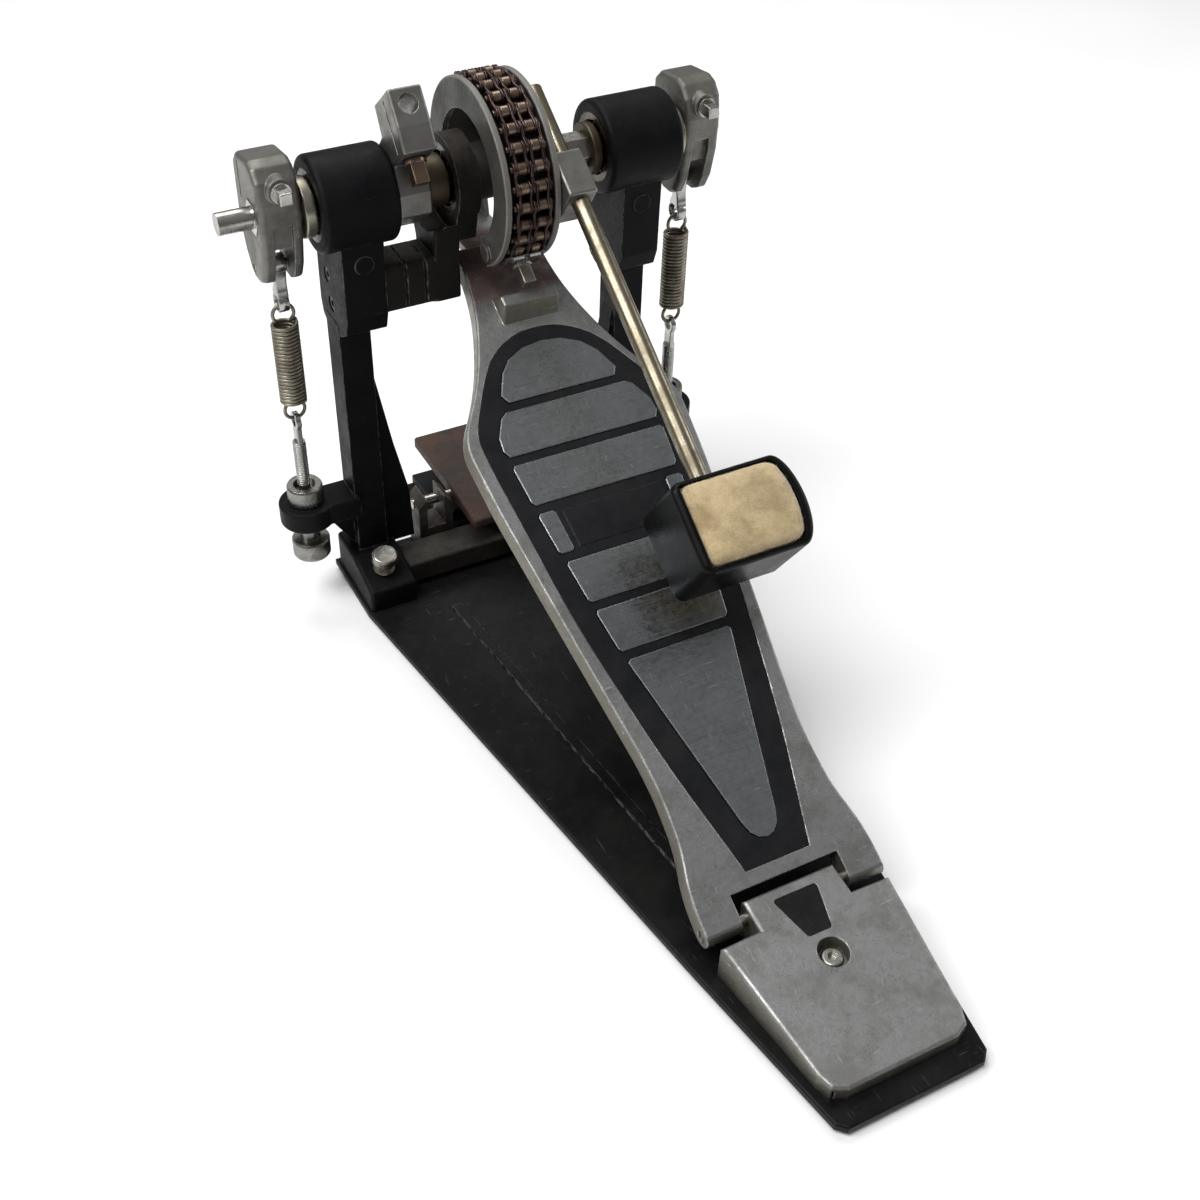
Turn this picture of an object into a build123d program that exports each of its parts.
from build123d import *
import math
import os

# Bass drum pedal, main unit of a linked pair.
# Frame: +X to the player's right, +Y towards the drum, +Z up, millimetres.
# Origin: on the floor, under the middle of the axle line, on the board's centre line.
# In pairs of parts, side is -1 for the left and +1 for the right.

# ------------------------------------------------------------------ driving dimensions
SIDES = (-1, 1)
AXLE_Z = 208.0                        # axle height above the floor
JOURNAL_R = 6.0
HEX_AF = 14.0                         # across flats, where hubs and wheel sit
END_HEX_AF = 13.0                     # across flats, where the rockers sit

BOARD_SLOPE = math.radians(28.9)      # footboard at rest
BOARD_Y, BOARD_Z = -264.5, 26.5       # zero point of the board's top plane
BOARD_DEPTH = 9.0                     # depth of the cast board at its skirt
HEEL_END_R = 4.7                      # round heel end of the board
HEEL_SLOPE = math.radians(8.7)
HEEL_Y, HEEL_Z = -264.9, 24.9         # zero point of the heel plate's top plane
HINGE_R = 2.5

GRIP_TOP, PLATE_TOP = 2.0, 5.5        # grip pad top, base plate top
POST_X0, POST_X1 = 61.5, 76.0
POST_Y0, POST_Y1 = -1.0, 14.5
POST_TOP = 150.0
HOUSING_INNER = {-1: 50.0, 1: 47.5}   # distance of each housing's inner end from the centre
HOUSING_OUTER, HOUSING_R = 83.0, 20.5
BALL_RACE_IN, BALL_RACE_OUT, BEARING_R = 8.0, 12.0, 15.0
BEARING_BORE_R = BEARING_R + 0.02

CHAIN_PITCH = 8.0
CHAIN_STEP = 12.0                     # degrees per pitch round the wheel
CHAIN_R = CHAIN_PITCH / (2 * math.sin(math.radians(CHAIN_STEP / 2)))
WHEEL_R = 40.0

SPRING_X, SPRING_Y = 97.5, 6.5        # spring line, each side
ROCKER_X0, ROCKER_X1 = 89.0, 107.0
LINK_PIN_Z = AXLE_Z - 26.0
LINK_EYE_Z = LINK_PIN_Z - 18.0        # centre of the link's lower eye

ROD_R, ROD_OFFSET = 4.0, 24.0         # beater rod, and its distance from the axle
MAIN_HUB_X, MAIN_HUB_W = 19.4, 13.2
LINKED_HUB_X, LINKED_HUB_W = -42.2, 14.6
MAIN_ROD_ANGLE = math.radians(213.7)  # rod direction, from +Y towards +Z
LINKED_ROD_ANGLE = math.radians(141.0)

# screw places
FOOT_BOLTS = [(side * x, y) for side in SIDES for x, y in ((75.5, 3.0), (66.0, 12.0))]
HEEL_SCREWS = ((-24, -292), (24, -292), (-20, -333), (20, -333))
CROSS_SCREWS = ((-13.0, 13.5), (-4.5, 13.5))    # y, z
TENON_SCREWS = ((8.6, 170.5), (5.8, 157.5))     # y, z
STUD_Y, STUD_Z = -2.0, 168.0                    # stud of the centre bracket
ANCHOR_SCREWS = [(-6.5, 283.0), (6.5, 283.0)]   # across, along the board


# ------------------------------------------------------------------ helpers
def box(x0, x1, y0, y1, z0, z1):
    x0, x1 = min(x0, x1), max(x0, x1)
    middle = Pos((x0 + x1) / 2, (y0 + y1) / 2, (z0 + z1) / 2)
    return middle * Box(x1 - x0, y1 - y0, z1 - z0)


def cyl_along(start, direction, radius, length):
    return Solid.make_cylinder(radius, length, Plane(origin=start, z_dir=direction))


def cyl_x(x0, x1, radius, y=0.0, z=AXLE_Z):
    """Cylinder along X, on the axle line unless y and z are given."""
    return cyl_along((min(x0, x1), y, z), (1, 0, 0), radius, abs(x1 - x0))


def cyl_z(x, y, z0, z1, radius):
    return cyl_along((x, y, z0), (0, 0, 1), radius, z1 - z0)


def prism(points, vector):
    face = Face(Wire.make_polygon([Vector(*p) for p in points], close=True))
    return Solid.extrude(face, Vector(*vector))


def prism_x(yz, x0, x1):
    start = min(x0, x1)
    return prism([(start, y, z) for y, z in yz], (abs(x1 - x0), 0, 0))


def hexagon(radius, cy, cz):
    return [(cy + radius * math.cos(math.radians(60 * k)),
             cz + radius * math.sin(math.radians(60 * k))) for k in range(6)]


def hex_x(x0, x1, across_flats, y=0.0, z=AXLE_Z):
    return prism_x(hexagon(across_flats / math.sqrt(3), y, z), x0, x1)


def mirrored(right):
    """Closed outline from its right half, starting at the first point's mirror image."""
    left = [(-x, y) for x, y in right]
    return left[:1] + right + left[:0:-1]


def largest(shape):
    return sorted(shape.solids(), key=lambda solid: -solid.volume)[0]


def cut(body, *tools):
    """Take each tool off in turn and keep the largest solid each time."""
    for tool in tools:
        body = largest(body - tool)
    return body


def near(a, b, tolerance=1e-3):
    return abs(a - b) < tolerance


def soften(shape, radius, test=None):
    """Fillet the edges that pass the test, or all of them."""
    solid = largest(shape)
    for factor in (1.0, 0.6, 0.35):
        # A fillet that can't hold its radius raises an error: try the next smaller one.
        try:
            edges = solid.edges() if test is None else [e for e in solid.edges() if test(e)]
            if not edges:
                return solid
            rounded = solid.fillet(radius * factor, edges)
            if rounded.is_valid and rounded.volume > 0.5 * solid.volume:
                return largest(rounded)
        except Exception:
            pass
    return solid


def square_bolt(shank, seat, square, height, edge_r, collar_r, collar_t):
    """Bolt with a square head and a round collar standing on the seat plane."""
    head = seat * Pos(0, 0, height / 2) * Box(square, square, height)
    collar = seat * Pos(0, 0, collar_t / 2) * Cylinder(collar_r, collar_t)
    return largest(shank + soften(head, edge_r) + collar)


def save(name, *shapes):
    solids = [solid for shape in shapes for solid in shape.solids()]
    shape = solids[0] if len(solids) == 1 else Compound(solids)
    export_step(shape, os.path.join("parts", name + ".step"))


# Board coordinates: across (+X), along (heel to toe), above the top plane.
BOARD_COS, BOARD_SIN = math.cos(BOARD_SLOPE), math.sin(BOARD_SLOPE)
BOARD_UP = (0, -BOARD_SIN, BOARD_COS)


def board_point(across, along, above=0.0):
    return (across, BOARD_Y + along * BOARD_COS - above * BOARD_SIN,
            BOARD_Z + along * BOARD_SIN + above * BOARD_COS)


def board_vector(height):
    return (0, BOARD_UP[1] * height, BOARD_UP[2] * height)


def board_prism(outline, bottom, top):
    return prism([board_point(u, s, bottom) for u, s in outline], board_vector(top - bottom))


def board_bar(half_width, along0, along1, bottom, top):
    return board_prism(mirrored([(half_width, along0), (half_width, along1)]), bottom, top)


def board_spline_prism(right, bottom, top):
    """Splines through the right-side points and their mirror images, with straight ends."""
    r = [Vector(*board_point(u, s, bottom)) for u, s in right]
    l = [Vector(*board_point(-u, s, bottom)) for u, s in right]
    wire = Wire([Edge.make_spline(r), Edge.make_spline(l),
                 Edge.make_line(r[0], l[0]), Edge.make_line(r[-1], l[-1])])
    return Solid.extrude(Face(wire), Vector(*board_vector(top - bottom)))


def edge_along(edge):
    c = edge.center()
    return (c.Z - BOARD_Z) * BOARD_SIN + (c.Y - BOARD_Y) * BOARD_COS


def edge_above(edge):
    c = edge.center()
    return (c.Z - BOARD_Z) * BOARD_COS - (c.Y - BOARD_Y) * BOARD_SIN


HINGE_ALONG, HINGE_ABOVE = -9.0, -4.5
HINGE_Y, HINGE_Z = board_point(0, HINGE_ALONG, HINGE_ABOVE)[1:]


# Heel plate coordinates: across (+X), back (towards the player), above the top plane.
def heel_point(across, back, above=0.0):
    return (across, HEEL_Y - back * math.cos(HEEL_SLOPE) - above * math.sin(HEEL_SLOPE),
            HEEL_Z - back * math.sin(HEEL_SLOPE) + above * math.cos(HEEL_SLOPE))


def heel_prism(outline, bottom, height):
    return prism([heel_point(u, s, bottom) for u, s in outline],
                 (0, -height * math.sin(HEEL_SLOPE), height * math.cos(HEEL_SLOPE)))


HEEL_BOLT_Y, HEEL_BOLT_TOP = heel_point(0, 35)[1:]
HEEL_BOLT_SEAT = HEEL_BOLT_TOP - 7.0

# The spurs lean: their axis points up and back, distances run up it from under the head.
SPUR_X, SPUR_Y, SPUR_Z = 69.5, -17.0, 27.0
SPUR_TILT = math.radians(14)
SPUR_UP = (0, -math.sin(SPUR_TILT), math.cos(SPUR_TILT))
SPUR_R = 3.95


def spur_point(side, distance):
    return (side * SPUR_X, SPUR_Y + SPUR_UP[1] * distance, SPUR_Z + SPUR_UP[2] * distance)


def spur_cyl(side, start, end, radius):
    return cyl_along(spur_point(side, start), SPUR_UP, radius, end - start)


# ------------------------------------------------------------------ base
def base_outline(inset):
    return mirrored([
        (30.5 - inset * .5, -357.5 + inset), (34.3 - inset, -353.8 + inset * .7),
        (46.9 - inset, -274), (82.5 - inset, -25), (82.5 - inset, 20 - inset),
        (40 - inset, 20 - inset), (29 - inset, 27), (29 - inset, 62 - inset)])


def make_grip_pad():
    pad = prism([(x, y, 0) for x, y in base_outline(2.0)], (0, 0, GRIP_TOP))
    return cut(pad, *[spur_cyl(side, -34, 0, 4.2) for side in SIDES],
               *[cyl_z(x, y, -1, 3, 4.4) for x, y in HEEL_SCREWS],
               cyl_z(0, HEEL_BOLT_Y, -1, 3, 4.4),
               *[cyl_z(x, y, -1, 3, 5.2) for x, y in FOOT_BOLTS])


def make_base_plate():
    plate = prism([(x, y, GRIP_TOP) for x, y in base_outline(0.0)],
                  (0, 0, PLATE_TOP - GRIP_TOP))
    plate = soften(plate, 1.0, lambda e: near(e.center().Z, PLATE_TOP))
    # two pressed stiffening ridges
    z = PLATE_TOP - 0.2
    for side in SIDES:
        ridge = prism([(side * 40, -40, z), (side * 45, -40, z),
                       (side * 27, -235, z), (side * 22, -235, z)], (0, 0, 1.4))
        plate = largest(plate + ridge)
    return cut(plate, *[spur_cyl(side, -34, 0, 4.2) for side in SIDES],
               cyl_z(0, HEEL_BOLT_Y, 0, 6, 2.1),
               *[cyl_z(x, y, 0, 6, 2.1) for x, y in HEEL_SCREWS],
               *[cyl_z(x, y, 0, 6, 2.6) for x, y in FOOT_BOLTS])


def make_base_screws():
    """Foot bolts and heel plate screws, all put in from below."""
    bolts = [largest(cyl_z(x, y, 0.4, 1.95, 4.6) + cyl_z(x, y, 1.9, 15.5, 2.05))
             for x, y in FOOT_BOLTS]
    screws = [largest(cyl_z(x, y, 0.4, 1.95, 4.0) + cyl_z(x, y, 1.9, 9.3, 1.98))
              for x, y in HEEL_SCREWS]
    return bolts + screws


# ------------------------------------------------------------------ heel plate
# across, back; the hinge tab comes first
HEEL_RIGHT = [(21.2, 1.5), (21.4, 15.2), (38.9, 15.7), (32.6, 74.5), (30.5, 80.5), (24.5, 83.4)]


def on_heel_top(edge):
    c = edge.center()
    return near(c.Z, HEEL_Z - (HEEL_Y - c.Y) * math.tan(HEEL_SLOPE), 0.05)


def make_heel_plate():
    heel = prism([(u, heel_point(u, s)[1], 0) for u, s in mirrored(HEEL_RIGHT)], (0, 0, 40))
    heel = heel - heel_prism(mirrored([(60, -20), (60, 110)]), 0, 40)
    heel = largest(heel - box(-70, 70, -400, -200, -5, PLATE_TOP))
    heel = soften(heel, 1.6, on_heel_top)
    # drum-side end of the tab is rounded about the hinge, so that the board can turn past it
    tab_waste = (box(-21.3, 21.3, HINGE_Y, HINGE_Y + 12, 4, 30)
                 - cyl_x(-22, 22, 7.0, HINGE_Y, HINGE_Z)
                 - box(-22, 22, HINGE_Y - 1, HINGE_Y + 3.6, 4, HINGE_Z))
    # room for the board's ears beside the tab, then the pin's bore
    heel = cut(heel, tab_waste,
               *[cyl_x(side * 21.6, side * 41.6, 6.6, HINGE_Y, HINGE_Z) for side in SIDES],
               cyl_x(-30, 30, HINGE_R + 0.02, HINGE_Y, HINGE_Z))
    # underside pocket leaves a shell with a centre boss and four screw bosses
    pocket = box(-30, 30, -345, -284, PLATE_TOP - 1, 10.2) - cyl_z(0, HEEL_BOLT_Y, 0, 40, 9)
    for x, y in HEEL_SCREWS:
        pocket = pocket - cyl_z(x, y, 0, 40, 4.5)
    for piece in pocket.solids():
        heel = heel - piece
    heel = largest(heel)
    recess_h = 5
    recess = heel_prism(mirrored([(10.4, 6.4), (5.4, 25.8)]), -1.6, recess_h)
    recess = soften(recess, 1.5, lambda e: near(e.length, recess_h))
    return cut(heel, recess, cyl_z(0, HEEL_BOLT_Y, HEEL_BOLT_SEAT, 40, 6.4),
               cyl_z(0, HEEL_BOLT_Y, 0, HEEL_BOLT_SEAT + 1, 2.1),
               *[cyl_z(x, y, 4, 9.5, 2.05) for x, y in HEEL_SCREWS])


def make_heel_insert():
    thickness = 1.1
    insert = heel_prism(mirrored([(10.3, 6.5), (5.33, 25.7)]), -1.6, thickness)
    return soften(insert, 1.45, lambda e: near(e.length, thickness))


def make_heel_bolt():
    """Socket screw down through the heel plate's centre boss."""
    head_top = HEEL_BOLT_SEAT + 4.2
    screw = cyl_z(0, HEEL_BOLT_Y, HEEL_BOLT_SEAT + 0.02, head_top, 4.6)
    screw = soften(screw, 1.2, lambda e: near(e.center().Z, head_top))
    screw = largest(screw + cyl_z(0, HEEL_BOLT_Y, GRIP_TOP + 0.4, HEEL_BOLT_SEAT + 1, 2.0))
    socket = [(x, y, HEEL_BOLT_SEAT + 2.0) for x, y in hexagon(2.1, 0, HEEL_BOLT_Y)]
    return cut(screw, prism(socket, (0, 0, 6)))


# ------------------------------------------------------------------ footboard
# Right-hand outlines: across, along.
BOARD_RIGHT = [
    (41.0, -15.0), (41.0, 0), (39.6, 11), (36.8, 23), (35.3, 36), (35.0, 50), (35.8, 64),
    (37.4, 78), (39.6, 96), (42.2, 118), (44.4, 137), (47.0, 160), (49.3, 182), (50.5, 200),
    (50.5, 210.5), (47.8, 218.5), (42.3, 227), (36.5, 236.5), (31.0, 247.5), (26.8, 258),
    (23.4, 268.5), (21.0, 279), (19.6, 290), (19.2, 303.0)]
POCKET_RIGHT = [
    (30.0, 8), (31.2, 24), (30.6, 36), (30.4, 50), (31.2, 64), (32.8, 78), (35.0, 96),
    (37.6, 118), (39.8, 137), (42.4, 160), (44.7, 182), (45.8, 200), (45.5, 208),
    (42.8, 215.5), (37.6, 224.5), (31.8, 234), (26.4, 246), (22.2, 257), (18.8, 268.5),
    (16.6, 279), (15.4, 290), (15.2, 306)]
INSET_RIGHT = [
    (15.0, 7.0), (17.5, 18), (20.6, 31), (24.4, 47), (28.3, 66), (32.2, 88), (35.2, 106),
    (37.8, 124), (40.3, 148), (42.8, 178), (44.9, 206), (44.6, 212.5), (42.2, 219.5),
    (37.0, 229), (31.0, 239), (25.5, 246.3), (19.0, 251.8), (10.0, 256.0), (1.5, 257.3)]
# Left halves of the grip plates that span the centre line, toe to heel: across, along.
PLATES_LEFT = [
    [(-25.4, 225.4), (-27.6, 229.5), (-22.8, 239.5), (-17.5, 245.3), (-9.5, 249.2), (0, 250.5)],
    [(-34.9, 201.2), (-36.8, 204.5), (-36.2, 211.0), (-31.6, 219.5), (-28.6, 221.6)],
    [(-33.2, 177.6), (-34.6, 179.2), (-36.0, 195.6), (-34.9, 197.2)],
    [(-27.8, 130.6), (-29.2, 132.0), (-31.2, 148.6), (-30.2, 150.2)],
    [(-24.4, 106.8), (-25.8, 108.2), (-28.2, 125.0), (-27.2, 126.6)],
    [(0, 16.4), (-3.4, 17.4), (-6.2, 20.2), (-8.0, 25.0), (-23.9, 99.5), (-24.2, 101.5),
     (-23.0, 102.8)],
]
# Small plate left of the middle panel; a mirror image lies right of it.
SMALL_PLATE = [(-31.2, 154.2), (-32.4, 155.4), (-34.2, 172.2), (-33.2, 173.6),
               (-27.2, 173.6), (-26.2, 172.4), (-25.2, 155.4), (-26.0, 154.2)]


def make_footboard():
    plan = board_spline_prism(BOARD_RIGHT, -14, 6)
    # side profile (along, above): flat top and bottom, round end about the hinge
    round_end = [(HINGE_ALONG + HEEL_END_R * math.cos(math.radians(a)),
                  min(HINGE_ABOVE + HEEL_END_R * math.sin(math.radians(a)), 0.0))
                 for a in range(105, 256, 15)]
    profile = [(4.0, 0.0), (HINGE_ALONG, 0.0), *round_end,
               (HINGE_ALONG, HINGE_ABOVE - HEEL_END_R), (4.0, -BOARD_DEPTH),
               (300, -BOARD_DEPTH), (303.2, -6.0), (303.2, -1.5), (302, 0.0)]
    side_view = prism([board_point(-60, s, n) for s, n in profile], (120, 0, 0))
    board = largest(plan & side_view)
    board = soften(board, 1.3, lambda e: near(edge_above(e), 0, 0.05) and edge_along(e) > 3)
    # notch between the hinge ears, then the pocket: a thin deck with a deep skirt all round
    board = cut(board, board_bar(25.0, -20, 1.0, -16, 4),
                board_spline_prism(POCKET_RIGHT, -14, -3.6))
    board = largest(board + board_bar(12, 118, 122, -8, -3.5) + board_bar(2, 30, 262, -8.0, -3.5))
    # shallow recess for the rubber inset, then the bores for the hinge pin
    board = cut(board, board_spline_prism(INSET_RIGHT, -1.8, 5),
                cyl_x(-45, 45, HINGE_R + 0.06, HINGE_Y, HINGE_Z))
    # toe stop: wedge block that keeps the toe off the wheel
    wedge = ((261, -1), (276, -1), (270.5, 9.2), (265.6, 9.2))
    stop = prism([board_point(-12.8, s, n) for s, n in wedge], (26.4, 0, 0))
    board = largest(board + soften(stop, 1.0))
    return cut(board, *[cyl_along(board_point(u, s, -3.7), BOARD_UP, 1.55, 2.6)
                        for u, s in ANCHOR_SCREWS])


def grip_plate_outlines():
    outlines = [left + [(-u, s) for u, s in reversed(left) if u] for left in PLATES_LEFT]
    # the two small plates come after the first three
    outlines[3:3] = [SMALL_PLATE, [(-u, s) for u, s in SMALL_PLATE]]
    return outlines


def widened(outline, gap):
    """Move each point away from the outline's mean point by the gap in both directions."""
    mid_u = sum(u for u, s in outline) / len(outline)
    mid_s = sum(s for u, s in outline) / len(outline)
    return [(u + math.copysign(gap, u - mid_u) if abs(u - mid_u) > .01 else u,
             s + math.copysign(gap, s - mid_s)) for u, s in outline]


def make_rubber_inset():
    gap = 0.12
    # the gap is taken off the sides and both ends, but not off the point next to the middle
    right = [(u - gap if u > 2 else u, s + (gap if s < 10 else (-gap if s > 250 else 0)))
             for u, s in INSET_RIGHT]
    inset = board_spline_prism(right, -1.78, -0.15)
    for outline in grip_plate_outlines():
        inset = inset - board_prism(widened(outline, 0.25), -1.1, 2)
    inset = largest(inset)
    panel_top = 0.2
    panel = board_prism(mirrored([(22.5, 155.0), (23.2, 172.6)]), -1.2, panel_top)
    panel = soften(panel, 0.5, lambda e: near(edge_above(e), panel_top, 0.03))
    return largest(inset + panel)


def make_grip_plates():
    top = 0.55
    return [soften(board_prism(outline, -1.08, top), 0.4,
                   lambda e: near(edge_above(e), top, 0.03))
            for outline in grip_plate_outlines()]


# ------------------------------------------------------------------ chain
ROW_X = 3.9                    # half the spacing of the two roller rows
CHAIN_PIN_R, ROLLER_R = 1.35, 2.55
ROLLER_HALF_W = 1.85
INNER_PLATE_DX, OUTER_PLATE_DX = 2.45, 3.5   # from a row's middle to its side plates
PLATE_T, MIDDLE_PLATE_T = 0.95, 1.1
PLATE_END_R, PLATE_WAIST = 2.9, 0.72         # end radius, and the waist as a share of it
WRAP_LINKS = 18                # links on the wheel
ANCHOR = -4                    # number of the pin held by the anchor tongue
ANCHOR_PIN_R = CHAIN_PIN_R + 0.3


def chain_point(k):
    """Pin k: 0 at the tangent point, up round the wheel, negative down the strand."""
    if k >= 0:
        a = math.radians(k * CHAIN_STEP)
        return (CHAIN_R * math.cos(a), AXLE_Z + CHAIN_R * math.sin(a))
    return (CHAIN_R, AXLE_Z + k * CHAIN_PITCH)


def link_plate(start, end, x, thickness):
    """Waisted side plate between two pin centres."""
    (ya, za), (yb, zb) = start, end
    length = math.hypot(yb - ya, zb - za)
    ty, tz = (yb - ya) / length, (zb - za) / length
    ny, nz = -tz, ty
    waist = PLATE_WAIST * PLATE_END_R
    points = []
    for y, z, first_angle, sign in ((yb, zb, -90, 1), (ya, za, 90, -1)):
        for k in range(9):
            a = math.radians(first_angle + 180 * k / 8)
            c, s = math.cos(a), math.sin(a)
            points.append((y + PLATE_END_R * (c * ty + s * ny),
                           z + PLATE_END_R * (c * tz + s * nz)))
        points.append(((ya + yb) / 2 + sign * waist * ny, (za + zb) / 2 + sign * waist * nz))
    plate = prism_x(points, x - thickness / 2, x + thickness / 2)
    for y, z in (start, end):
        plate = plate - cyl_x(x - thickness, x + thickness, CHAIN_PIN_R + 0.03, y, z)
    return largest(plate)


def link_plates(k):
    """Plates from pin k to the next; inner and outer links alternate."""
    start, end = chain_point(k), chain_point(k + 1)
    if k % 2 == 0:
        places = [row + dx for row in (-ROW_X, ROW_X) for dx in (-INNER_PLATE_DX, INNER_PLATE_DX)]
    else:
        places = [-ROW_X - OUTER_PLATE_DX, 0.0, ROW_X + OUTER_PLATE_DX]
    plates = [link_plate(start, end, x, PLATE_T if x != 0.0 else MIDDLE_PLATE_T) for x in places]
    if k == ANCHOR:
        # larger eye for the anchor pin
        plates = [cut(plate, cyl_x(x - 2, x + 2, CHAIN_PIN_R + 0.34, *start))
                  for plate, x in zip(plates, places)]
    return plates


def rollers_and_pins(pin_numbers):
    rollers, pins = [], []
    for k in pin_numbers:
        y, z = chain_point(k)
        pins.append(cyl_x(-8.7, 8.7, CHAIN_PIN_R, y, z))
        for x in (-ROW_X, ROW_X):
            roller = cyl_x(x - ROLLER_HALF_W, x + ROLLER_HALF_W, ROLLER_R, y, z)
            rollers.append(cut(roller, cyl_x(x - 3, x + 3, CHAIN_PIN_R + 0.03, y, z)))
    return rollers + pins


def save_chain():
    # no plates join the first pin on the wheel to the strand's top pin
    save("chain_wrapped_plates", *[p for k in range(WRAP_LINKS) for p in link_plates(k)])
    save("chain_wrapped_rollers", *rollers_and_pins(range(WRAP_LINKS + 1)))
    save("chain_strand_links", *[p for k in range(ANCHOR, -1) for p in link_plates(k)],
         *rollers_and_pins(range(ANCHOR + 1, 0)))


def make_anchor_tongue():
    """Cranked steel tongue screwed under the toe, with two ears for the chain's lowest pin."""
    top, bottom = -3.7, -7.4   # above the board's top plane
    heel_low, heel_high, toe_high, toe_low = [
        board_point(0, s, n)[1:]
        for s, n in ((270, bottom), (270, top), (299.5, top), (299.5, bottom))]
    tongue = prism_x([heel_low, heel_high, toe_high, (8, 168.0), (40.5, 170.4),
                      (40.5, 166.8), (8, 164.2), toe_low], -11.0, 11.0)
    for side in SIDES:
        tongue = tongue + prism_x([(30, 168), (46.5, 169.5), (46.5, 178.0), (44.5, 180.5),
                                   (40, 181.5), (35, 181), (32, 178)], side * 8.9, side * 11.0)
    tip = prism_x([(38, 166.8), (46.5, 167.4), (46.5, 170.6), (38, 170.3)], -11.0, 11.0)
    tongue = largest(tongue + tip)
    return cut(tongue, cyl_x(-14, 14, 1.72, *chain_point(ANCHOR)),
               *[cyl_along(board_point(u, s, -9), BOARD_UP, 1.6, 8) for u, s in ANCHOR_SCREWS])


def make_anchor_fasteners():
    screws = [largest(cyl_along(board_point(u, s, -9.4), BOARD_UP, 2.9, 1.9)
                      + cyl_along(board_point(u, s, -7.6), BOARD_UP, 1.5, 6.3))
              for u, s in ANCHOR_SCREWS]
    return [cyl_x(-11.8, 11.8, ANCHOR_PIN_R, *chain_point(ANCHOR))] + screws


# ------------------------------------------------------------------ chain clip
# Folded plate with a square-head bolt that holds the chain's end to the wheel.
LAST_PIN = chain_point(WRAP_LINKS)
CLIP_ANGLE = math.radians(WRAP_LINKS * CHAIN_STEP)
CLIP_OUT = (0, math.cos(CLIP_ANGLE), math.sin(CLIP_ANGLE))


def clip_point(ahead, out):
    """Point ahead of the last pin round the wheel, and outwards from it."""
    return (LAST_PIN[0] - ahead * CLIP_OUT[2] + out * CLIP_OUT[1],
            LAST_PIN[1] + ahead * CLIP_OUT[1] + out * CLIP_OUT[2])


def clip_bolt_point(out):
    return (0, *clip_point(11.0, 0.2 + out))


def make_chain_clip():
    clip = prism_x([clip_point(*p) for p in (
        (2.0, -3.2), (2.0, 2.6), (6.0, 3.0), (15.0, 1.5), (15.0, -1.0), (6.0, 0.2), (4.6, -3.2))],
        -8.9, 8.9)
    pin_room = cyl_x(-12, 12, 3.05, *LAST_PIN)
    clip = cut(clip, pin_room)
    knuckles = (cyl_x(-6.2, -1.5, 2.6, *clip_point(3.4, 1.6))
                + cyl_x(1.5, 6.2, 2.6, *clip_point(3.4, 1.6)))
    return cut(largest(clip + knuckles), pin_room,
               cyl_along(clip_bolt_point(-6), CLIP_OUT, 2.05, 14))


def make_clip_bolt():
    seat = Plane(origin=clip_bolt_point(3.0), x_dir=(1, 0, 0), z_dir=CLIP_OUT)
    return square_bolt(cyl_along(clip_bolt_point(-6.5), CLIP_OUT, 1.98, 10.5), seat,
                       square=5.6, height=9.2, edge_r=0.5, collar_r=4.4, collar_t=1.2)


# ------------------------------------------------------------------ chain wheel
RIM_START, RIM_END = -62.0, 190.0   # degrees from -Y over the top to +Y


def wheel_point(radius, degrees):
    a = math.radians(degrees)
    return (-radius * math.cos(a), AXLE_Z + radius * math.sin(a))


def sector(r0, r1, x0, x1, start=RIM_START, end=RIM_END):
    """Ring sector between two radii and two angles."""
    def place(radius, degrees):
        return Vector(x0, *wheel_point(radius, degrees))

    def arc(radius):
        return Edge.make_three_point_arc(place(radius, start), place(radius, (start + end) / 2),
                                         place(radius, end))

    wire = Wire([arc(r1), arc(r0), Edge.make_line(place(r0, start), place(r1, start)),
                 Edge.make_line(place(r0, end), place(r1, end))])
    return Solid.extrude(Face(wire), Vector(x1 - x0, 0, 0))


def on_wheel_rim(edge):
    p = edge.position_at(0.3)
    return edge.length > 100 and near(math.hypot(p.Y, p.Z - AXLE_Z), WHEEL_R, 0.05)


def make_chain_wheel():
    left_flange = sector(27.0, WHEEL_R, -12.6, -9.9)
    right_flange = sector(24.0, WHEEL_R, 9.9, 12.6)
    floor = sector(32.2, 34.6, -10.0, 10.0)
    web = sector(10.0, 25.0, 9.2, 12.2, -40.0, 170.0)
    for degrees in (0, 45, 90, 135):
        web = web - cyl_x(5, 15, 4.2, *wheel_point(18.6, degrees))
    wheel = largest(left_flange + right_flange + floor + web + cyl_x(-13.6, 12.6, 12.0))
    wheel = cut(wheel, hex_x(-20, 20, HEX_AF + 0.06))
    # pin lug at the left flange's lower end, on the player's side
    wheel = largest(wheel + cyl_x(-14.0, -9.9, 4.0, *wheel_point(34.0, RIM_START + 6)))
    wheel = soften(wheel, 0.6, on_wheel_rim)
    return cut(wheel, cyl_along(clip_bolt_point(-9), CLIP_OUT, 2.02, 20))


# ------------------------------------------------------------------ posts and crossbar
SPRING_LUG_Z0, SPRING_LUG_Z1 = 46.0, 57.0


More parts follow.
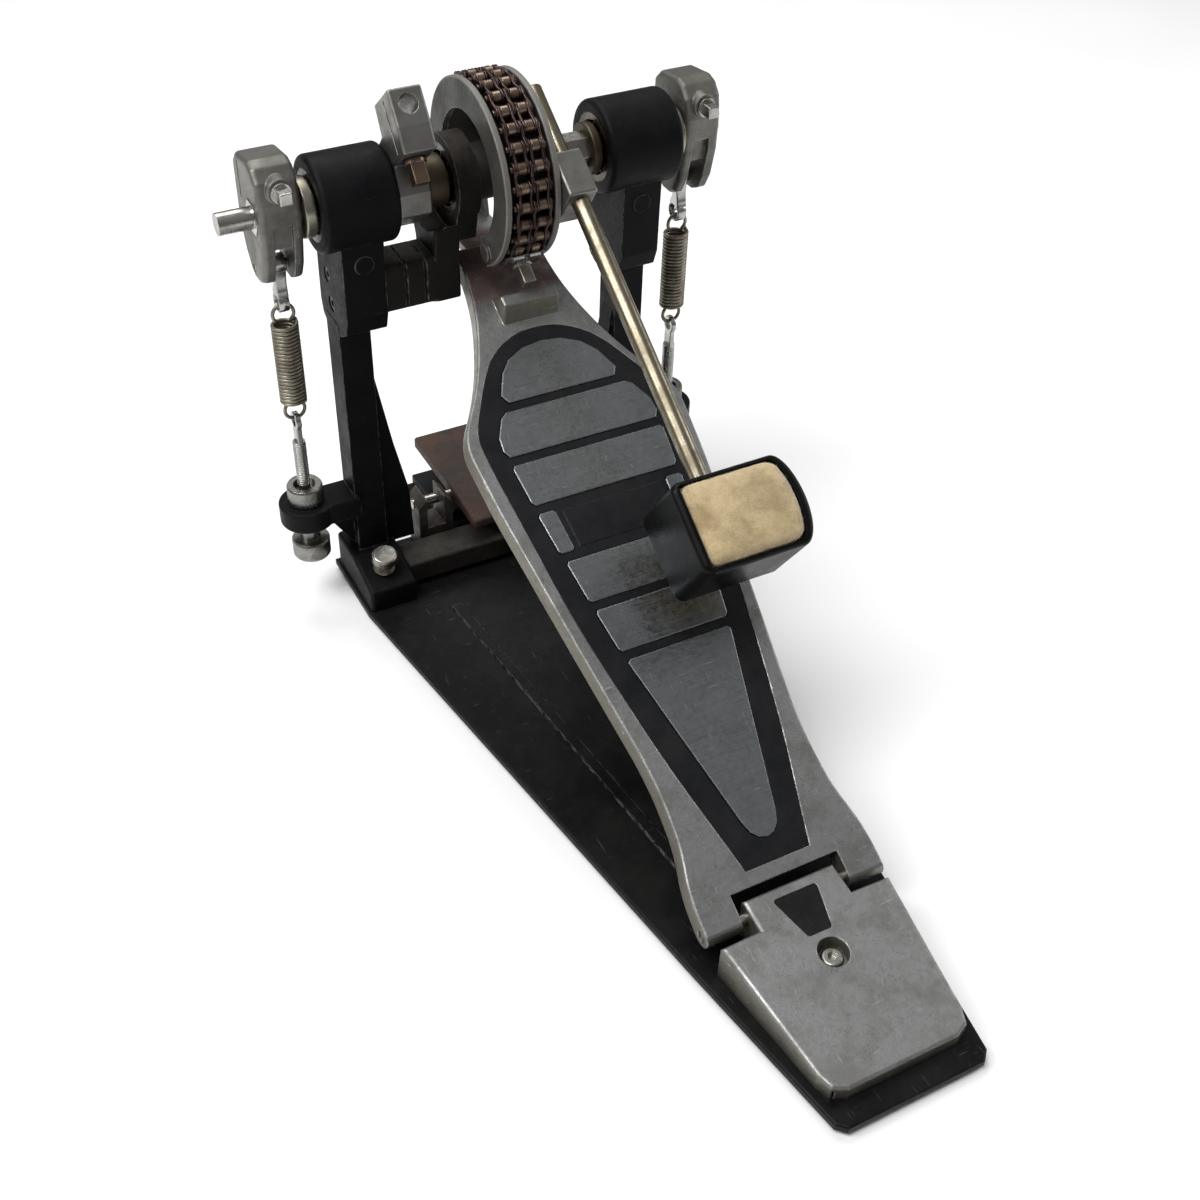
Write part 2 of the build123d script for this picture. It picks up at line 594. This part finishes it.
def make_post(side):
    foot = prism_x([(-27, PLATE_TOP), (18, PLATE_TOP), (18, 24), (-4, 24), (-27, 17.5)],
                   side * 57.0, side * 81.0)
    foot = soften(foot, 2.0, lambda e: e.center().Z > 10)
    column = box(side * POST_X0, side * POST_X1, POST_Y0, POST_Y1, 20, POST_TOP)
    gusset = prism([(side * x, 1.5, z) for x, z in
                    ((62.5, 128), (62.5, 22), (46.5, 22), (47.5, 50), (54, 80))], (0, 10, 0))
    column = soften(largest(column + gusset), 1.5, lambda e: e.length > 30)
    # tenon that enters the bearing housing's leg
    tenon = box(side * 64.5, side * 72.5, 1.5, 12.5, 148, 178)
    lug = (cyl_z(side * SPRING_X, SPRING_Y, SPRING_LUG_Z0, SPRING_LUG_Z1, 13.0)
           + box(side * 74, side * SPRING_X, SPRING_Y - 10, SPRING_Y + 8,
                 SPRING_LUG_Z0, SPRING_LUG_Z1))
    lug = soften(lug, 1.2, lambda e: near(e.center().Z, SPRING_LUG_Z1, .01)
                 or near(e.center().Z, SPRING_LUG_Z0, .01))
    rib = prism([(side * 75.5, 4, 24), (side * 75.5, 4, 47), (side * 90, 4, 47)], (0, 5, 0))
    post = largest(foot + column + tenon + lug + rib)
    post = cut(post, cyl_z(side * SPRING_X, SPRING_Y, 30, 70, 4.75))
    post = largest(post - spur_cyl(side, -40, 12, 4.05) - spur_cyl(side, -6.5, 14, 5.5))
    return cut(post, *[cyl_x(side * 60, side * 76, 2.0, y, z) for y, z in TENON_SCREWS],
               *[cyl_z(x, y, 4, 16, 2.1) for x, y in FOOT_BOLTS if x * side > 0],
               *[cyl_x(side * 55, side * 64.6, 2.05, y, z) for y, z in CROSS_SCREWS])


def make_crossbar():
    bar = box(-56.95, 56.95, -18.0, 0.0, 8.0, 20.0)
    bar = soften(bar, 1.5, lambda e: e.length > 50)
    return cut(bar, *[cyl_x(side * 46, side * 60.0, 2.05, y, z)
                      for side in SIDES for y, z in CROSS_SCREWS])


# ------------------------------------------------------------------ bearing housings
HOUSING_LEG = [(-13.2, 158), (-10.5, 150), (-4, 146), (12, 143.5), (18, 146.5), (20, 153),
               (18.5, 200), (0, 205), (-14, 196), (-13.5, 180)]   # y, z
LEG_X0, LEG_X1 = 57.0, 75.8


def make_housing(side):
    inner = HOUSING_INNER[side]
    tube = soften(cyl_x(side * inner, side * HOUSING_OUTER, HOUSING_R), 2.2)
    leg = prism_x(HOUSING_LEG, side * LEG_X0, side * LEG_X1)
    leg = soften(leg, 3.0, lambda e: abs(e.center().X - side * LEG_X1) > 0.1
                 and abs(e.center().X - side * LEG_X0) > 0.1)
    housing = largest(tube + leg)
    housing = largest(
        housing - cyl_x(side * (inner - 1), side * (inner + 6.4), BEARING_BORE_R)
        - cyl_x(side * (HOUSING_OUTER - 6.4), side * (HOUSING_OUTER + 1), BEARING_BORE_R)
        - cyl_x(side * inner, side * HOUSING_OUTER, 12.5))
    # socket for the post's tenon, then the seat on top of the post
    housing = cut(housing, box(side * 64.45, side * 72.55, 1.45, 12.55, 138, 178.1),
                  box(side * (POST_X0 - .05), side * (POST_X1 + .05),
                      POST_Y0 - .05, POST_Y1 + .05, 130, POST_TOP + .05))
    for y, z in TENON_SCREWS:
        housing = largest(housing - cyl_x(side * 60.5, side * 77, 2.05, y, z)
                          - cyl_x(side * 73.6, side * 77, 3.6, y, z))
    # round boss on the leg's player-side face
    housing = largest(housing + cyl_along((side * 66.2, -12.9, 183.5), (0, -1, 0), 4.2, 1.3))
    if side < 0:
        housing = cut(housing, cyl_x(-60.5, -56.5, 2.6, STUD_Y, STUD_Z))
    return housing


def make_frame_screws():
    screws = []
    for side in SIDES:
        for y, z in TENON_SCREWS:
            screw = largest(cyl_x(side * 61.0, side * 75.3, 1.95, y, z)
                            + cyl_x(side * 73.65, side * 75.3, 3.4, y, z))
            screws.append(cut(screw, hex_x(side * 74.2, side * 76, 3.0, y, z)))
    for side in SIDES:
        screws += [cyl_x(side * 47, side * 64.4, 2.0, y, z) for y, z in CROSS_SCREWS]
    # stud that joins the centre bracket and the left housing's leg
    screws.append(cyl_x(-60.3, -44.3, 2.5, STUD_Y, STUD_Z))
    return screws


def make_centre_bracket():
    """Beam from the left leg, and an arm up to a ring round the axle."""
    beam = box(-56.95, -27, -12.5, 8.5, 157.0, 179.0)
    beam = soften(beam, 3.0, lambda e: near(abs(e.tangent_at(0.5).X), 1))
    lower_arm = prism_x([(-12.5, 157.5), (-6, 154.0), (4, 156.0), (8.5, 162), (9.5, 180),
                         (14.5, 192), (-14.0, 192), (-12.5, 180)], -34.0, -22.2)
    upper_arm = prism_x([(-12.0, 184.0), (10.5, 184.0), (15.5, 196), (18.4, 208),
                         (-18.4, 208), (-15.0, 196)], -30.0, -14.2)
    arm = largest(soften(lower_arm, 1.2) + soften(upper_arm, 1.0))
    bracket = largest(beam + arm + cyl_x(-24.2, -14.2, 18.8))
    bracket = largest(bracket - cyl_x(-40, -24.2, 20.5) - cyl_x(-26, -12, BEARING_BORE_R))
    # grooves round the beam
    for x in (-47.5, -38.5):
        groove = (box(x - 0.7, x + 0.7, -14, 10, 150, 185)
                  - box(x - 1, x + 1, -11.7, 7.7, 157.8, 178.2))
        for piece in groove.solids():
            bracket = bracket - piece
    return cut(largest(bracket), cyl_x(-57.5, -44, 2.6, STUD_Y, STUD_Z))


# ------------------------------------------------------------------ bearings
# x0, x1 of each bearing
LINKED_BEARINGS = [(-82.9, -76.9), (-56.0, -50.2), (-24.1, -19.4)]
DRIVE_BEARINGS = [(-19.0, -14.4), (47.7, 53.5), (76.9, 82.9)]
BALL_R, BALLS = 1.85, 9
BALL_CIRCLE_R = (BALL_RACE_IN + BALL_RACE_OUT) / 2


def race(x0, x1, outer_r, inner_r):
    return cut(cyl_x(x0, x1, outer_r), cyl_x(x0 - 1, x1 + 1, inner_r))


def inner_races(bearings):
    return [race(x0, x1, BALL_RACE_IN, JOURNAL_R + 0.01) for x0, x1 in bearings]


def make_balls(x0, x1):
    angles = [math.radians(360 / BALLS * k) for k in range(BALLS)]
    return [Pos((x0 + x1) / 2, BALL_CIRCLE_R * math.cos(a), AXLE_Z + BALL_CIRCLE_R * math.sin(a))
            * Sphere(BALL_R) for a in angles]


def save_bearings():
    bearings = LINKED_BEARINGS + DRIVE_BEARINGS
    save("bearing_outer_races", *[race(x0, x1, BEARING_R, BALL_RACE_OUT) for x0, x1 in bearings])
    save("linked_inner_races", *inner_races(LINKED_BEARINGS))
    save("drive_inner_races", *inner_races(DRIVE_BEARINGS))
    save("bearing_balls", *[ball for x0, x1 in bearings for ball in make_balls(x0, x1)])


# ------------------------------------------------------------------ axles
AXLE_TIP_R = 4.7


def make_linked_axle():
    axle = largest(cyl_x(-24.2, -19.3, JOURNAL_R) + hex_x(-49.9, -24.1, HEX_AF)
                   + cyl_x(-88.6, -49.8, JOURNAL_R) + hex_x(-107.4, -88.4, END_HEX_AF)
                   + cyl_x(-122.0, -107.2, AXLE_TIP_R))
    # two flats on the left tip
    for degrees in (55, 235):
        ny, nz = math.cos(math.radians(degrees)), math.sin(math.radians(degrees))
        corners = ((4.56, 6), (4.56, -6), (9, -6), (9, 6))   # outwards, across
        waste = prism([(-123, out * ny - across * nz, AXLE_Z + out * nz + across * ny)
                       for out, across in corners], (5.4, 0, 0))
        axle = cut(axle, waste)
    return axle


def make_drive_axle():
    return largest(cyl_x(-19.1, -14.3, JOURNAL_R) + hex_x(-14.4, 47.6, HEX_AF)
                   + cyl_x(47.5, 88.6, JOURNAL_R) + hex_x(88.4, 107.4, END_HEX_AF)
                   + cyl_x(107.2, 109.5, AXLE_TIP_R))


def make_collar(x0, x1, radius, bore):
    return soften(cyl_x(x0, x1, radius) - bore, 0.8, lambda e: e.length > 60)


def make_outer_collar(side):
    bore = cyl_x(side * 80, side * 92, JOURNAL_R + 0.02)
    return make_collar(side * 83.4, side * 88.3, 12.6, bore)


def save_axles():
    save("linked_axle", make_linked_axle())
    save("drive_axle", make_drive_axle())
    save("linked_axle_collars", make_outer_collar(-1),
         make_collar(-34.6, -24.8, 11.0, hex_x(-36, -20, HEX_AF + 0.1)))
    save("drive_axle_collars", make_outer_collar(1),
         make_collar(43.0, 47.2, 11.5, hex_x(40, 49, HEX_AF + 0.1)))


# ------------------------------------------------------------------ beater hubs
def rod_directions(angle):
    """Unit vectors along the rod, and from the axle to the rod's side."""
    return (0, math.cos(angle), math.sin(angle)), (0, math.sin(angle), -math.cos(angle))


def rod_point(angle, along, out):
    """(y, z) of a point in the hub's frame, whose origin is the axle."""
    d, n = rod_directions(angle)
    return (along * d[1] + out * n[1], AXLE_Z + along * d[2] + out * n[2])


HUB_PROFILE = ((36, 15.5), (36, 30.8), (15.5, 30.8), (13.5, 18.5), (-8, 14.5), (-14.5, 7),
               (-14.5, -7), (-8, -14.5), (8, -14.5), (14.0, -7), (17.5, 5.0),
               (34.5, 5.0))   # along, out
HUB_SLOT = ((27.0, 7.0), (28.6, 7.0), (28.6, 28.6), (27.0, 28.6))
HUB_BOLT_ALONG = 24.0
HUB_BOLT_TIP = ROD_OFFSET - ROD_R - 0.35


def make_hub(x, angle, width):
    """Hub body and the key bolt that presses on the rod."""
    def place(along, out):
        return (x, *rod_point(angle, along, out))

    along_rod, out = rod_directions(angle)
    inwards = (0, -out[1], -out[2])
    x0, x1 = x - width / 2, x + width / 2
    body = soften(prism_x([rod_point(angle, *p) for p in HUB_PROFILE], x0, x1), 1.1)
    # the slot opens on the hub's left face
    body = cut(body, hex_x(x0 - 1, x1 + 1, HEX_AF + 0.06),
               cyl_along(place(10, ROD_OFFSET), along_rod, ROD_R + 0.06, 40),
               prism_x([rod_point(angle, *p) for p in HUB_SLOT], x0 - 1, x0 + 3.0),
               cyl_along(place(HUB_BOLT_ALONG, HUB_BOLT_TIP + 4), inwards, 3.0, 30.0))
    shank = cyl_along(place(HUB_BOLT_ALONG, HUB_BOLT_TIP), inwards, 2.95, 21.0)
    seat = Plane(origin=place(HUB_BOLT_ALONG, 4.4), x_dir=(1, 0, 0), z_dir=inwards)
    return body, square_bolt(shank, seat, square=6.4, height=10.0, edge_r=0.6,
                             collar_r=4.9, collar_t=1.4)


# ------------------------------------------------------------------ beater
# Head frame: x across, y away from the axle's side, z along the rod.
# Flat plastic face at -x, domed plastic face at +x, felt at -y and +y.
HEAD_ALONG = 187.0                    # head centre along the rod
HEAD_LEFT, HEAD_RIGHT = 22.5, 23.0    # flat face, and start of the dome
HEAD_HALF_Y, HEAD_HALF_Z = 19.0, 19.5
HEAD_DOME = 8.4
FELT_DOME_X = 20.5                    # start of the felt's dome
FELT_OUTER_Y = 20.9
ROD_DIR, ROD_OUT = rod_directions(MAIN_ROD_ANGLE)


def beater_point(along):
    return (MAIN_HUB_X, *rod_point(MAIN_ROD_ANGLE, along, ROD_OFFSET))


HEAD = Plane(origin=beater_point(HEAD_ALONG), x_dir=(1, 0, 0), z_dir=ROD_DIR)


def head_local(edge):
    return HEAD.to_local_coords(edge.center())


def dome(x, radius_x, radius_z, y0, y1):
    """Elliptic side of the head, carried through from y0 to y1."""
    origin = HEAD.from_local_coords(Vector(x, y0, 0))
    plane = Plane(origin=origin, x_dir=(1, 0, 0), z_dir=ROD_OUT)
    return extrude(plane * Ellipse(radius_x, radius_z), amount=y1 - y0)


def felt_block(width, height, dome_x, y0, y1):
    middle = HEAD * Pos(FELT_DOME_X - width / 2, (y0 + y1) / 2, 0)
    block = middle * Box(width, y1 - y0, height)
    return largest(block + dome(FELT_DOME_X, dome_x, height / 2, y0, y1))


def make_head_shell():
    shell = largest(HEAD * Pos((HEAD_RIGHT - HEAD_LEFT) / 2, 0, 0)
                    * Box(HEAD_RIGHT + HEAD_LEFT, 2 * HEAD_HALF_Y, 2 * HEAD_HALF_Z))
    shell = soften(shell, 4.5, lambda e: head_local(e).X < -HEAD_LEFT + 0.1
                   and near(abs(head_local(e).Z), HEAD_HALF_Z, 0.1))
    shell = largest(shell + dome(HEAD_RIGHT, HEAD_DOME, HEAD_HALF_Z, -HEAD_HALF_Y, HEAD_HALF_Y))
    shell = soften(shell, 2.6, lambda e: near(abs(head_local(e).Y), HEAD_HALF_Y, 0.01))
    # a window in each felt side takes a felt block
    for side in SIDES:
        shell = shell - felt_block(39.7, 35.2, 6.5, *sorted((side * 10.0, side * 25.0)))
    return cut(largest(shell), cyl_along(beater_point(HEAD_ALONG - 40), ROD_DIR, ROD_R + 0.06, 57))


def make_felt(side):
    felt = felt_block(39.5, 34.8, 6.3, *sorted((side * 10.3, side * FELT_OUTER_Y)))
    return soften(felt, 3.0, lambda e: near(head_local(e).Y * side, FELT_OUTER_Y, 0.05))


def save_beater():
    save("beater_rod", soften(cyl_along(beater_point(-19.0), ROD_DIR, ROD_R, 222.0), 1.0))
    save("beater_head_shell", make_head_shell())
    save("beater_felt_pads", *[make_felt(side) for side in SIDES])


# ------------------------------------------------------------------ rockers
# y, height above the axle
ROCKER_PROFILE = [(-10.0, 8), (-8.5, 17), (-4.0, 22), (1.0, 23.5), (16.0, 21.5), (20.5, 17),
                  (21, -10), (17.0, -22), (12, -29), (8.0, -31.5), (2.0, -31.5), (-3.0, -29),
                  (-6.5, -22), (-9.5, -8)]
ROCKER_SLOT = [(-20, -40), (30, -40), (30, -5.0), (12.0, -5.0), (9.5, -13.0), (-6.5, -13.0),
               (-7.5, -2.0), (-20, -2.0)]
ROCKER_BOLT_Z = AXLE_Z + 14
TO_PLAYER = (0, -1, 0)


def make_rocker(side):
    def profile(points, x0, x1):
        return prism_x([(y, AXLE_Z + z) for y, z in points], side * x0, side * x1)

    x = side * SPRING_X
    hex_bore = hex_x(side * (ROCKER_X0 - 1), side * (ROCKER_X1 + 1), END_HEX_AF + 0.06)
    rocker = soften(profile(ROCKER_PROFILE, ROCKER_X0, ROCKER_X1), 2.4)
    # slot for the spring link, bore, then a clamp slit at the outer end
    rocker = cut(rocker, profile(ROCKER_SLOT, 93.4, 101.6), hex_bore,
                 box(side * 103.8, side * 110, 12.2, 13.6, AXLE_Z + 2, AXLE_Z + 19))
    # boss for the key bolt; the bore is cleared again after it
    boss = cyl_along((x, -6.0, ROCKER_BOLT_Z), TO_PLAYER, 5.6, 5.5)
    boss = soften(boss, 0.6, lambda e: near(e.center().Y, -11.5, .01))
    return cut(largest(rocker + boss),
               cyl_along((x, 8.0, ROCKER_BOLT_Z), TO_PLAYER, 2.6, 30), hex_bore,
               cyl_x(side * (ROCKER_X0 + .8), side * (ROCKER_X1 + 3), 1.75,
                     SPRING_Y, LINK_PIN_Z))


def make_rocker_bolt(side):
    x = side * SPRING_X
    shank = cyl_along((x, 7.6, ROCKER_BOLT_Z), TO_PLAYER, 2.55, 19.5)
    seat = Plane(origin=(x, -11.6, ROCKER_BOLT_Z), x_dir=(1, 0, 0), z_dir=TO_PLAYER)
    return square_bolt(shank, seat, square=5.2, height=7.2, edge_r=0.5,
                       collar_r=4.3, collar_t=1.2)


# ------------------------------------------------------------------ links, springs, eye bolts
COIL_TOP, COIL_BOTTOM = 153.0, 113.0
COIL_R, WIRE_R = 5.3, 0.85
EYE_Z = 102.3                 # centre of the eye bolt's eye
NUT_BORE_R = 2.97


def make_spring_link(side):
    """Flat link with a wide upper eye and a thin lower eye."""
    x0, x1 = side * 96.3, side * 98.7
    upper = cyl_x(side * 94.4, side * 100.6, 4.2, SPRING_Y, LINK_PIN_Z)
    bar = prism_x([(SPRING_Y - 3.2, LINK_PIN_Z), (SPRING_Y - 2.6, LINK_EYE_Z),
                   (SPRING_Y + 2.6, LINK_EYE_Z), (SPRING_Y + 3.2, LINK_PIN_Z)], x0, x1)
    link = soften(largest(upper + bar + cyl_x(x0, x1, 4.6, SPRING_Y, LINK_EYE_Z)), 0.5)
    return largest(link - cyl_x(side * 90, side * 105, 1.76, SPRING_Y, LINK_PIN_Z)
                   - cyl_x(side * 90, side * 105, 2.9, SPRING_Y, LINK_EYE_Z))


def make_spring(side):
    """Tension spring: a close coil as a tube, with a ring at each end."""
    x = side * SPRING_X
    coil = cut(cyl_z(x, SPRING_Y, COIL_BOTTOM, COIL_TOP, COIL_R + WIRE_R),
               cyl_z(x, SPRING_Y, COIL_BOTTOM - 1, COIL_TOP + 1, COIL_R - WIRE_R))

    def ring(z0, z1):
        plane = Plane(origin=(x, SPRING_Y, (z0 + z1) / 2), z_dir=(0, 1, 0))
        return Solid.make_torus((z1 - z0) / 2, WIRE_R, plane)

    sink = WIRE_R * 0.6   # how far a ring's centre line enters the coil's end
    return coil, ring(COIL_TOP - sink, LINK_EYE_Z - 1.7), ring(EYE_Z + 1.55, COIL_BOTTOM + sink)


def make_eye_bolt(side):
    x, y = side * SPRING_X, SPRING_Y
    x0, x1 = x - 1.3, x + 1.3
    eye = cyl_x(x0, x1, 4.4, y, EYE_Z) + prism_x(
        [(y - 3.0, EYE_Z), (y - 2.9, 90), (y + 2.9, 90), (y + 3.0, EYE_Z)], x0, x1)
    eye = soften(largest(eye), 0.5)
    bolt = largest(eye + cyl_z(x, y, 24.0, 91.0, 2.9))
    return cut(bolt, cyl_x(x - 6, x + 6, 2.7, y, EYE_Z))


def make_tension_nuts(side):
    x, y = side * SPRING_X, SPRING_Y
    bore = cyl_z(x, y, 20, 90, NUT_BORE_R)
    upper = soften(cyl_z(x, y, SPRING_LUG_Z1 + 0.1, SPRING_LUG_Z1 + 9.5, 8.6), 0.8)
    upper = cut(upper, cyl_z(x, y, SPRING_LUG_Z1 + 6.3, SPRING_LUG_Z1 + 12, 5.0), bore)
    lower = largest(cyl_z(x, y, 35.0, SPRING_LUG_Z1 - 2.0, 4.7)
                    + soften(cyl_z(x, y, 25.5, 35.2, 9.2), 0.8))
    return upper, cut(lower, bore)


# ------------------------------------------------------------------ anchor spurs
def make_spur(side):
    shank_end = -24.0
    spur = spur_cyl(side, shank_end, 0.5, SPUR_R)
    down = (0, -SPUR_UP[1], -SPUR_UP[2])
    tip = Solid.make_cone(SPUR_R, 0.4, 4.2,
                          Plane(origin=spur_point(side, shank_end), z_dir=down))
    spur = largest(spur + tip)
    spur = largest(spur + soften(spur_cyl(side, 0.0, 5.5, 6.0), 1.0))
    # keep the point above the floor at rest
    return cut(spur, box(-100, 100, -60, 60, -30, 0.25))


def make_spur_spring(side):
    """Friction spring under the head, as a tube."""
    return cut(spur_cyl(side, -6.4, -0.3, 5.3), spur_cyl(side, -9, 1, 4.15))


# ------------------------------------------------------------------ hoop clamp
JAW_PIN_Y, JAW_PIN_Z = 13.0, 31.0
CLAMP_SCREW_Y = -9


def make_seat_pad():
    pad = box(-24, 24, 22, 60, PLATE_TOP, 12.5)
    return soften(pad, 1.5, lambda e: e.center().Z > 11)


def make_jaw():
    jaw = prism_x([(-16, 28.5), (-16, 33.5), (6, 35.0), (20, 36.0), (60, 35.0), (61, 34),
                   (61, 28.5), (20, 28.8), (8, 28.4)], -21.5, 21.5)
    return cut(soften(jaw, 1.4), cyl_x(-30, 30, 2.56, JAW_PIN_Y, JAW_PIN_Z),
               cyl_z(0, CLAMP_SCREW_Y, 20, 40, 3.06))


def make_jaw_lug(side):
    outline = ((24.0, PLATE_TOP), (42.0, PLATE_TOP), (42.0, 33), (38.0, 37.5), (28.0, 37.5),
               (24.0, 33))
    lug = prism([(side * x, 5, z) for x, z in outline], (0, 14, 0))
    lug = soften(cut(lug, box(side * 28.5, side * 37.5, 0, 30, 20, 45)), 1.2)
    return cut(lug, cyl_x(side * 20, side * 45, 2.52, JAW_PIN_Y, JAW_PIN_Z))


def save_hoop_clamp():
    save("hoop_seat_pad", make_seat_pad())
    save("hoop_clamp_jaw", make_jaw())
    save("hoop_clamp_lugs", *[make_jaw_lug(side) for side in SIDES])
    save("hoop_clamp_pin", soften(cyl_x(-42.6, 42.6, 2.5, JAW_PIN_Y, JAW_PIN_Z), 0.4))
    screw = cyl_z(0, CLAMP_SCREW_Y, 20.1, 40, 3.0) + cyl_z(0, CLAMP_SCREW_Y, 36.5, 43, 9.0)
    save("hoop_clamp_screw", soften(screw, 0.8))


# ------------------------------------------------------------------ write the parts
os.makedirs("parts", exist_ok=True)

save("base_grip_pad", make_grip_pad())
save("base_plate", make_base_plate())
save("base_fixing_screws", *make_base_screws())
save("heel_plate", make_heel_plate())
save("heel_plate_insert", make_heel_insert())
save("heel_plate_screw", make_heel_bolt())
save("heel_hinge_pin", soften(cyl_x(-40.6, 40.6, HINGE_R, HINGE_Y, HINGE_Z), 0.5))
save("footboard", make_footboard())
save("footboard_rubber_inset", make_rubber_inset())
save("footboard_grip_plates", *make_grip_plates())
save("chain_anchor_tongue", make_anchor_tongue())
save("chain_anchor_fasteners", *make_anchor_fasteners())
save_chain()
save("chain_clip", make_chain_clip())
save("chain_clip_bolt", make_clip_bolt())
save("chain_wheel", make_chain_wheel())
save("crossbar", make_crossbar())
save("frame_screws", *make_frame_screws())
save("centre_bearing_bracket", make_centre_bracket())
save_bearings()
save_axles()
save_beater()

main_hub, main_hub_bolt = make_hub(MAIN_HUB_X, MAIN_ROD_ANGLE, MAIN_HUB_W)
linked_hub, linked_hub_bolt = make_hub(LINKED_HUB_X, LINKED_ROD_ANGLE, LINKED_HUB_W)
save("main_beater_hub", main_hub)
save("linked_beater_hub", linked_hub)
save("linked_key_bolts", make_rocker_bolt(-1), linked_hub_bolt)
save("drive_key_bolts", make_rocker_bolt(1), main_hub_bolt)

for side, name in ((-1, "left"), (1, "right")):
    save(name + "_post", make_post(side))
    save(name + "_bearing_housing", make_housing(side))
    save(name + "_rocker", make_rocker(side))
    save(name + "_link_pin", cyl_x(side * (ROCKER_X0 + 1.0), side * (ROCKER_X1 - 0.3), 1.7,
                                   SPRING_Y, LINK_PIN_Z))
    save(name + "_spring_link", make_spring_link(side))
    save(name + "_spring", *make_spring(side))
    save(name + "_eye_bolt", make_eye_bolt(side))
    save(name + "_tension_nuts", *make_tension_nuts(side))
    save(name + "_spur_screw", make_spur(side))

save("spur_springs", *[make_spur_spring(side) for side in SIDES])
save_hoop_clamp()
